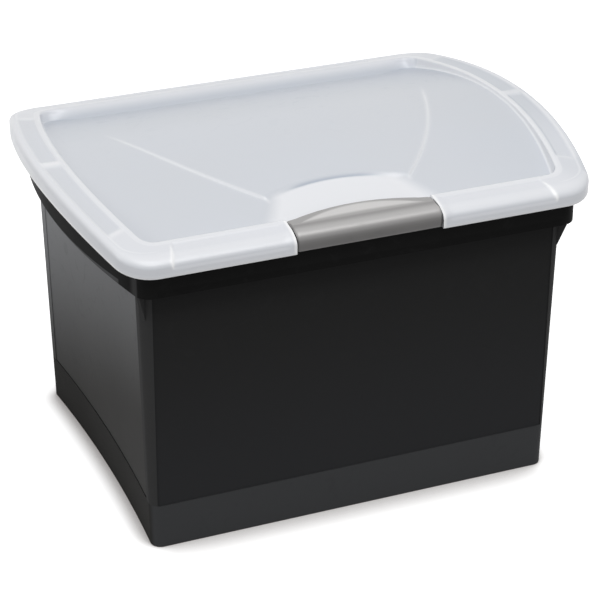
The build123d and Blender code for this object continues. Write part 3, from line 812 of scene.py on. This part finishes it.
def inside_latch(x, y, z):
    """The CAD latch's hook, end ribs and pivot pins."""
    hook = z < HOOK_TOP and abs(x) < HOOK_HALF and y > HOOK_FRONT
    boss = abs(x) > BOSS_X and z < BOSS_TOP and BOSS_FRONT < y < BOSS_BACK
    return hook or boss


end_turns = np.linspace(0.0, 1.0, 9) * np.pi / 2
end_xs = LATCH_HALF - END_ROUND * (1 - np.sin(end_turns))
half_xs = np.concatenate([np.linspace(0, EVEN_HALF, 41), end_xs])
latch_xs = np.concatenate([-half_xs[:0:-1], half_xs])
profiles = np.array([latch_profile(x) for x in latch_xs])
rows, tones = profiles[..., :2], profiles[..., 2]
tangent = np.gradient(rows, axis=1)
tangent /= np.linalg.norm(tangent, axis=2, keepdims=True)
inward = np.stack([-tangent[..., 1], tangent[..., 0]], axis=2)
towards_middle = np.array(LATCH_MIDDLE) - rows
inward *= np.sign((inward * towards_middle).sum(axis=2, keepdims=True))
past = np.clip(np.abs(latch_xs) - (LATCH_HALF - END_ROUND), 0, END_ROUND)
pull = END_ROUND - np.sqrt(np.maximum(END_ROUND**2 - past**2, 0))
rows = rows + inward * (pull * END_PULL)[:, None, None]
# The rounded ends get painted shade.
tones = tones - END_SHADE * smooth_step(0.3, 1.0, past / END_ROUND)[:, None]
wide = np.repeat(latch_xs[:, None], rows.shape[1], axis=1)
latch_place = np.concatenate([wide[..., None], rows], axis=2)
latch = bent_sheet("latch", latch_place, tones, np.zeros(wide.shape))
clean(latch, 0.00001)
turn_up(latch.data)
thicken(latch)
latch = with_works(latch, "latch", inside_latch, 0.2, 0.0)
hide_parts("latch")
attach(latch, "latch")

# %% [markdown]
# ## Helpers for materials
# The materials are node trees. These helpers add a node, a sum, a ramp or a mix of two colours.

# %% Node helpers
def node(tree, kind, **settings):
    """Adds a node; plain names set its properties, names in in_ set its inputs."""
    made = tree.nodes.new(kind)
    for key, value in settings.items():
        if key.startswith("in_"):
            made.inputs[key[3:].replace("_", " ")].default_value = value
        else:
            setattr(made, key, value)
    return made


def calc(tree, operation, a, b=None, c=None, clamp=False):
    """A math node on sockets or numbers; returns its output."""
    made = tree.nodes.new("ShaderNodeMath")
    made.operation = operation
    made.use_clamp = clamp
    for index, item in enumerate((a, b, c)):
        if item is None:
            continue
        if isinstance(item, (int, float)):
            made.inputs[index].default_value = item
        else:
            tree.links.new(item, made.inputs[index])
    return made.outputs[0]


def ramp(tree, value, low, high):
    """Soft ramp of a socket from 0 at low to 1 at high."""
    made = tree.nodes.new("ShaderNodeMapRange")
    made.interpolation_type = "SMOOTHSTEP"
    made.inputs["From Min"].default_value = low
    made.inputs["From Max"].default_value = high
    tree.links.new(value, made.inputs["Value"])
    return made.outputs["Result"]


def mix_colour(tree, factor, a, b):
    """Colour between a and b, which are sockets or tuples."""
    made = tree.nodes.new("ShaderNodeMix")
    made.data_type = "RGBA"
    for name, item in (("Factor", factor), ("A", a), ("B", b)):
        target = [s for s in made.inputs if s.name == name and s.enabled][0]
        if isinstance(item, (tuple, float)):
            target.default_value = item if isinstance(item, float) else (*item, 1.0)
        else:
            tree.links.new(item, target)
    return [s for s in made.outputs if s.enabled][0]

# %% [markdown]
# ## Moulded finishes
# All three pieces are moulded plastic, so one shader group makes the finish: a fine grain, a slow
# waviness, and a little unevenness in colour and roughness. Each material sets how much of it
# there is.

# %% Finish group
WAVE_SCALE, SCUFF_SCALE = 9.0, 60.0
BLOTCH_RANGE, SCUFF_RANGE = (0.25, 0.75), (0.56, 0.74)


def socket(group, name, kind, way, default=None):
    """Gives a group one more input or output."""
    made = group.interface.new_socket(name=name, in_out=way, socket_type=kind)
    if default is not None:
        made.default_value = default


def new_material(name):
    """A material with its node tree; returns it with its tree and its Principled node."""
    material = bpy.data.materials.new(name)
    material.use_nodes = True
    return material, material.node_tree, material.node_tree.nodes["Principled BSDF"]


finish = bpy.data.node_groups.new("moulded_finish", "ShaderNodeTree")
socket(finish, "Place", "NodeSocketVector", "INPUT")
socket(finish, "Grain Size", "NodeSocketFloat", "INPUT", 900.0)
socket(finish, "Grain", "NodeSocketFloat", "INPUT", 0.5)
socket(finish, "Wave", "NodeSocketFloat", "INPUT", 0.3)
socket(finish, "Height", "NodeSocketFloat", "OUTPUT")
socket(finish, "Blotch", "NodeSocketFloat", "OUTPUT")
socket(finish, "Scuff", "NodeSocketFloat", "OUTPUT")
inside = finish.nodes.new("NodeGroupInput")
outside = finish.nodes.new("NodeGroupOutput")
fine = node(finish, "ShaderNodeTexNoise", in_Detail=3.0, in_Roughness=0.6)
slow = node(finish, "ShaderNodeTexNoise", in_Scale=WAVE_SCALE, in_Detail=2.0)
marks = node(finish, "ShaderNodeTexNoise", in_Scale=SCUFF_SCALE, in_Detail=4.0, in_Distortion=1.5)
for texture in (fine, slow, marks):
    finish.links.new(inside.outputs["Place"], texture.inputs["Vector"])
finish.links.new(inside.outputs["Grain Size"], fine.inputs["Scale"])
grain = calc(finish, "MULTIPLY", fine.outputs["Fac"], inside.outputs["Grain"])
wave = calc(finish, "MULTIPLY", slow.outputs["Fac"], inside.outputs["Wave"])
finish.links.new(calc(finish, "ADD", grain, wave), outside.inputs["Height"])
finish.links.new(ramp(finish, slow.outputs["Fac"], *BLOTCH_RANGE), outside.inputs["Blotch"])
finish.links.new(ramp(finish, marks.outputs["Fac"], *SCUFF_RANGE), outside.inputs["Scuff"])
print("nodes in the finish:", len(finish.nodes))


def object_place(tree):
    """Output with the place of each point, in metres."""
    return node(tree, "ShaderNodeTexCoord").outputs["Object"]


def moulded(name, grain_size, grain, wave, bump):
    """A material with the finish group placed and its height wired to a bump."""
    material, tree, shader = new_material(name)
    group = node(tree, "ShaderNodeGroup", node_tree=finish)
    group.inputs["Grain Size"].default_value = grain_size
    group.inputs["Grain"].default_value = grain
    group.inputs["Wave"].default_value = wave
    tree.links.new(object_place(tree), group.inputs["Place"])
    relief = node(tree, "ShaderNodeBump", in_Strength=bump, in_Distance=0.001)
    tree.links.new(group.outputs["Height"], relief.inputs["Height"])
    tree.links.new(relief.outputs["Normal"], shader.inputs["Normal"])
    return material, tree, shader, group


def dress(piece, material):
    """Makes this the only material of a piece."""
    piece.data.materials.clear()
    piece.data.materials.append(material)
    print(piece.name, "wears", material.name, "with", len(material.node_tree.nodes), "nodes")

# %% [markdown]
# ## Frosted lid
# The lid is milky plastic. Over the dark inside it looks grey, and where the moulding is doubled or
# turned on edge it looks nearly white, so the masks of the sheet drive its colour. Through the
# masks the colour also holds painted highlights and painted shade.

# %% Lid material
# Below 0 on u the colour is painted shade; v at 1 gives the light edges and the painted highlights.
DEEP_SHADE_COLOUR = (0.36, 0.41, 0.50)        # u at -1
PANEL_COLOUR = (0.575, 0.605, 0.655)    # u at 0
RIM_COLOUR = (0.73, 0.745, 0.785)       # u at 1
EDGE_AND_HIGHLIGHT_COLOUR = (0.93, 0.935, 0.945)      # v at 1
CLOUDY_COLOUR, CLOUDY_SHARE = (0.62, 0.62, 0.61), 0.12


def two_masks(tree):
    """Outputs with the masks u and v of the sheet."""
    masks = node(tree, "ShaderNodeUVMap", uv_map="masks")
    split = node(tree, "ShaderNodeSeparateXYZ")
    tree.links.new(masks.outputs["UV"], split.inputs["Vector"])
    return split.outputs["X"], split.outputs["Y"]


frosted, tree, shader, group = moulded("frosted_plastic_lid", 1400.0, 0.35, 0.5, 0.12)
tone, edge_and_highlight = two_masks(tree)
colour = mix_colour(tree, tone, PANEL_COLOUR, RIM_COLOUR)
deep_shade = calc(tree, "MULTIPLY", tone, -1.0, clamp=True)
colour = mix_colour(tree, deep_shade, colour, DEEP_SHADE_COLOUR)
uneven = calc(tree, "MULTIPLY", group.outputs["Blotch"], CLOUDY_SHARE)
colour = mix_colour(tree, uneven, colour, CLOUDY_COLOUR)
colour = mix_colour(tree, edge_and_highlight, colour, EDGE_AND_HIGHLIGHT_COLOUR)
tree.links.new(colour, shader.inputs["Base Color"])
rough = calc(tree, "MULTIPLY_ADD", group.outputs["Scuff"], 0.12, 0.30)
tree.links.new(rough, shader.inputs["Roughness"])
shader.inputs["Specular IOR Level"].default_value = 0.5
dress(lid, frosted)

# %% [markdown]
# ## Grey latch
# The latch is satin grey with a metallic pigment, warmer than the lid. Its colour follows the tone
# of the sheet, so the ridge and the brow get painted highlights and the front face painted shade
# with a dark painted reflection.

# %% Latch material
# From painted shade and reflection at tone 0 to painted light at tone 1.
LATCH_PAINTED_SHADE, LATCH_PAINTED_LIGHT = (0.085, 0.082, 0.081), (0.60, 0.59, 0.585)
DULL_COLOUR, DULL_SHARE = (0.40, 0.385, 0.38), 0.1

satin, tree, shader, group = moulded("satin_grey_plastic", 2200.0, 0.5, 0.25, 0.1)
colour = mix_colour(tree, two_masks(tree)[0], LATCH_PAINTED_SHADE, LATCH_PAINTED_LIGHT)
uneven = calc(tree, "MULTIPLY", group.outputs["Blotch"], DULL_SHARE)
colour = mix_colour(tree, uneven, colour, DULL_COLOUR)
tree.links.new(colour, shader.inputs["Base Color"])
shader.inputs["Metallic"].default_value = 0.35
rough = calc(tree, "MULTIPLY_ADD", group.outputs["Scuff"], 0.1, 0.46)
tree.links.new(rough, shader.inputs["Roughness"])
dress(latch, satin)

# %% [markdown]
# ## Black tub
# The tub keeps its CAD form. Its four panels are textured and dull, while the band round the foot,
# the corner columns and the rim are smoother. In the photograph the end is lighter than the front,
# most of all towards the top and the back, and the underside of the rim is darkest. The lamps alone
# don't show that either, so one material paints that light on the end and that shade under the rim
# from the place of each point.

# %% Tub regions
PANEL_X, PANEL_Y = (0.1843, 0.1833), (0.1357, 0.1343)
BAND_TOP, PANEL_TOP = (0.0415, 0.0425), (0.2565, 0.2555)
CORNER_Y, CORNER_LEAN = 0.0384, 0.005       # the columns lean with the tapered walls
CORNER_EDGE = (0.001, -0.0085)
SKIRT_X, SKIRT_Y, SKIRT_Z = (0.200, 0.202), (0.160, 0.162), (0.240, 0.2485)

black, tree, shader, group = moulded("black_plastic_tub", 1600.0, 0.9, 0.2, 0.2)
spot = node(tree, "ShaderNodeSeparateXYZ")
tree.links.new(object_place(tree), spot.inputs["Vector"])
at_x, at_y, at_z = spot.outputs["X"], spot.outputs["Y"], spot.outputs["Z"]
side_x, side_y = calc(tree, "ABSOLUTE", at_x), calc(tree, "ABSOLUTE", at_y)
above_band = ramp(tree, at_z, *BAND_TOP)
in_panel = calc(tree, "MAXIMUM", ramp(tree, side_x, *PANEL_X), ramp(tree, side_y, *PANEL_Y))
between = calc(tree, "MULTIPLY", above_band, ramp(tree, at_z, *PANEL_TOP))
textured = calc(tree, "MULTIPLY", in_panel, between)
corner_line = calc(tree, "MULTIPLY_ADD", at_z, CORNER_LEAN, CORNER_Y)
past_corner = calc(tree, "ADD", calc(tree, "SUBTRACT", side_y, side_x), corner_line)
on_end = ramp(tree, past_corner, *CORNER_EDGE)
on_skirt = calc(tree, "MAXIMUM", ramp(tree, side_y, *SKIRT_Y), ramp(tree, side_x, *SKIRT_X))
on_skirt = calc(tree, "MULTIPLY", on_skirt, ramp(tree, at_z, *SKIRT_Z))
print("tub band up to", round(BAND_TOP[0] / MM, 1), "mm, panels to", PANEL_TOP[0] / MM, "mm")

# %% [markdown]
# ## Tones of the tub
# Each region gets its own black. The band and the columns get a lighter black that holds painted
# sheen, and the band on the end a darker one with painted shade. The panels get painted light near
# the foot, for the light the floor throws back. Scuffs even the colour out a little.

# %% Tub material
BAND_BLACK_AND_SHEEN, COLUMN_BLACK_AND_SHEEN = (0.0565, 0.0580, 0.0605), (0.045, 0.045, 0.0455)
PANEL_FOOT_PAINTED_LIGHT, PANEL_HEAD_BLACK = (0.0315, 0.0320, 0.0340), (0.0240, 0.0240, 0.0242)
PANEL_FADE = (0.03, 0.23)
END_LOW_PAINTED_LIGHT, END_PAINTED_LIGHT = (0.0600, 0.0590, 0.0580), (0.328, 0.334, 0.344)
END_BAND_SHADE = (0.0262, 0.0255, 0.0245)
END_FADE, END_SLANT, END_BACK = (0.06, 0.30), 0.38, (0.0, 0.12)
RIM_SHADE, RIM_NEAR, RIM_SHARE = (0.0098, 0.0098, 0.0098), (0.125, 0.158), (0.35, 0.63)
WORN_BLACK, WORN_SHARE = (0.035, 0.035, 0.036), 0.12
ROUGHER, ROUGH, ROUGH_BLOTCH = 0.22, 0.45, 0.05

# The smooth band and columns have a lighter black with painted sheen; the panels get painted light
# near the foot.
smooth_black_and_sheen = mix_colour(tree, above_band, BAND_BLACK_AND_SHEEN, COLUMN_BLACK_AND_SHEEN)
panel_black_and_light = mix_colour(tree, ramp(tree, at_z, *PANEL_FADE), PANEL_FOOT_PAINTED_LIGHT, PANEL_HEAD_BLACK)
colour = mix_colour(tree, textured, smooth_black_and_sheen, panel_black_and_light)
# The end gets painted light, rising towards the top and the back; its band gets painted shade.
end_light_rise = calc(tree, "MULTIPLY_ADD", at_y, END_SLANT, at_z)
end_painted_light = mix_colour(tree, ramp(tree, end_light_rise, *END_FADE), END_LOW_PAINTED_LIGHT, END_PAINTED_LIGHT)
end_panel = calc(tree, "MAXIMUM", textured, ramp(tree, at_y, *END_BACK))
end_panel = calc(tree, "MULTIPLY", calc(tree, "MULTIPLY", end_panel, above_band), on_end)
colour = mix_colour(tree, end_panel, colour, end_painted_light)
end_band = calc(tree, "MULTIPLY", on_end, calc(tree, "SUBTRACT", 1.0, above_band))
colour = mix_colour(tree, end_band, colour, END_BAND_SHADE)
# Painted shade under the rim, strongest near the front and back faces.
rim_shade_share = calc(tree, "MULTIPLY_ADD", ramp(tree, side_y, *RIM_NEAR), *RIM_SHARE)
colour = mix_colour(tree, calc(tree, "MULTIPLY", on_skirt, rim_shade_share), colour, RIM_SHADE)
worn = calc(tree, "MULTIPLY", group.outputs["Scuff"], WORN_SHARE)
colour = mix_colour(tree, worn, colour, WORN_BLACK)
tree.links.new(colour, shader.inputs["Base Color"])
rough = calc(tree, "MULTIPLY_ADD", calc(tree, "MAXIMUM", textured, on_end), ROUGHER, ROUGH)
rough = calc(tree, "MULTIPLY_ADD", group.outputs["Blotch"], ROUGH_BLOTCH, rough)
tree.links.new(rough, shader.inputs["Roughness"])
shader.inputs["Specular IOR Level"].default_value = 0.02
dress(nodes["tub"], black)

# %% [markdown]
# ## Floor
# The box stands on a pale sweep of floor. Seen by the camera and by reflections the floor is white,
# but the light it gives stays lower and it still takes the box's shadow. Close to the box a painted
# contact shadow darkens its glow, and that painted shadow reaches further out along the front than
# at the sides and the back.

# %% Floor
FLOOR_GLOW = (0.85, 0.85, 0.85)
CONTACT_PAINTED_SHADOW = (0.095, 0.082, 0.076)
SHADOW_SHADE, SEEN_SHADE = (0.5, 0.5, 0.5), (0.7, 0.7, 0.7)
CONTACT_NEAR, CONTACT_WIDE = 0.025, 0.055
FRONT_ZONE, CONTACT_RANGE = (0.038, 0.010), (0.45, 0.98)


def seen(tree):
    """1 for camera, glossy and transmission rays."""
    rays = node(tree, "ShaderNodeLightPath").outputs
    other = calc(tree, "MAXIMUM", rays["Is Glossy Ray"], rays["Is Transmission Ray"])
    return calc(tree, "MAXIMUM", rays["Is Camera Ray"], other)


def open_to_room(tree, reach):
    """How open the floor is to the room within this reach."""
    return node(tree, "ShaderNodeAmbientOcclusion", samples=16, in_Distance=reach).outputs["AO"]


bpy.ops.object.select_all(action="DESELECT")
bpy.ops.mesh.primitive_plane_add(size=9.0, location=(0.0, 0.0, 0.0))
floor = bpy.context.object
floor.name = "studio_floor"
floor_material, tree, shader = new_material("studio_floor")
shader.inputs["Roughness"].default_value = 1.0
shader.inputs["Specular IOR Level"].default_value = 0.0
eye = seen(tree)
tree.links.new(mix_colour(tree, eye, SHADOW_SHADE, SEEN_SHADE), shader.inputs["Base Color"])
spot = node(tree, "ShaderNodeSeparateXYZ")
tree.links.new(object_place(tree), spot.inputs["Vector"])
to_front = calc(tree, "ADD", calc(tree, "ABSOLUTE", spot.outputs["X"]), spot.outputs["Y"])
to_front = ramp(tree, to_front, *FRONT_ZONE)
# A painted contact shadow, from how open the floor is to the room near the box.
near, wide = open_to_room(tree, CONTACT_NEAR), open_to_room(tree, CONTACT_WIDE)
open_share = calc(tree, "MULTIPLY_ADD", calc(tree, "SUBTRACT", wide, near), to_front, near)
open_share = ramp(tree, open_share, *CONTACT_RANGE)
painted_glow = mix_colour(tree, open_share, CONTACT_PAINTED_SHADOW, FLOOR_GLOW)
painted_glow = mix_colour(tree, eye, (0.0, 0.0, 0.0), painted_glow)
tree.links.new(painted_glow, shader.inputs["Emission Color"])
shader.inputs["Emission Strength"].default_value = 1.0
dress(floor, floor_material)

# %% [markdown]
# ## Room and lamps
# The room is white to the camera and to reflections, and gives less light than it shows. A big
# soft lamp hangs above the front of the box and a weaker one stands at its left.

# %% Room and lamps
ROOM_LIGHT = 0.45
AIM = Vector((0, 0, 0.2))

world = scene.world or bpy.data.worlds.new("studio")
scene.world = world
world.use_nodes = True
tree = world.node_tree
background = tree.nodes["Background"]
background.inputs["Color"].default_value = (1, 1, 1, 1)
strength = calc(tree, "MULTIPLY_ADD", seen(tree), 1.0 - ROOM_LIGHT, ROOM_LIGHT)
tree.links.new(strength, background.inputs["Strength"])


def lamp(name, place, size, power):
    """A round soft lamp that looks at the box."""
    bpy.ops.object.light_add(type="AREA", location=place)
    light = bpy.context.object
    light.name = name
    light.data.shape = "DISK"
    light.data.size = size
    light.data.energy = power
    light.rotation_euler = (AIM - Vector(place)).to_track_quat("-Z", "Y").to_euler()
    print(name, "at", place, "power", power)


lamp("top_lamp", (0.05, -0.95, 2.3), 1.6, 27)
lamp("left_lamp", (-2.3, 0.1, 1.3), 1.2, 9)
scene.view_settings.view_transform = "Standard"
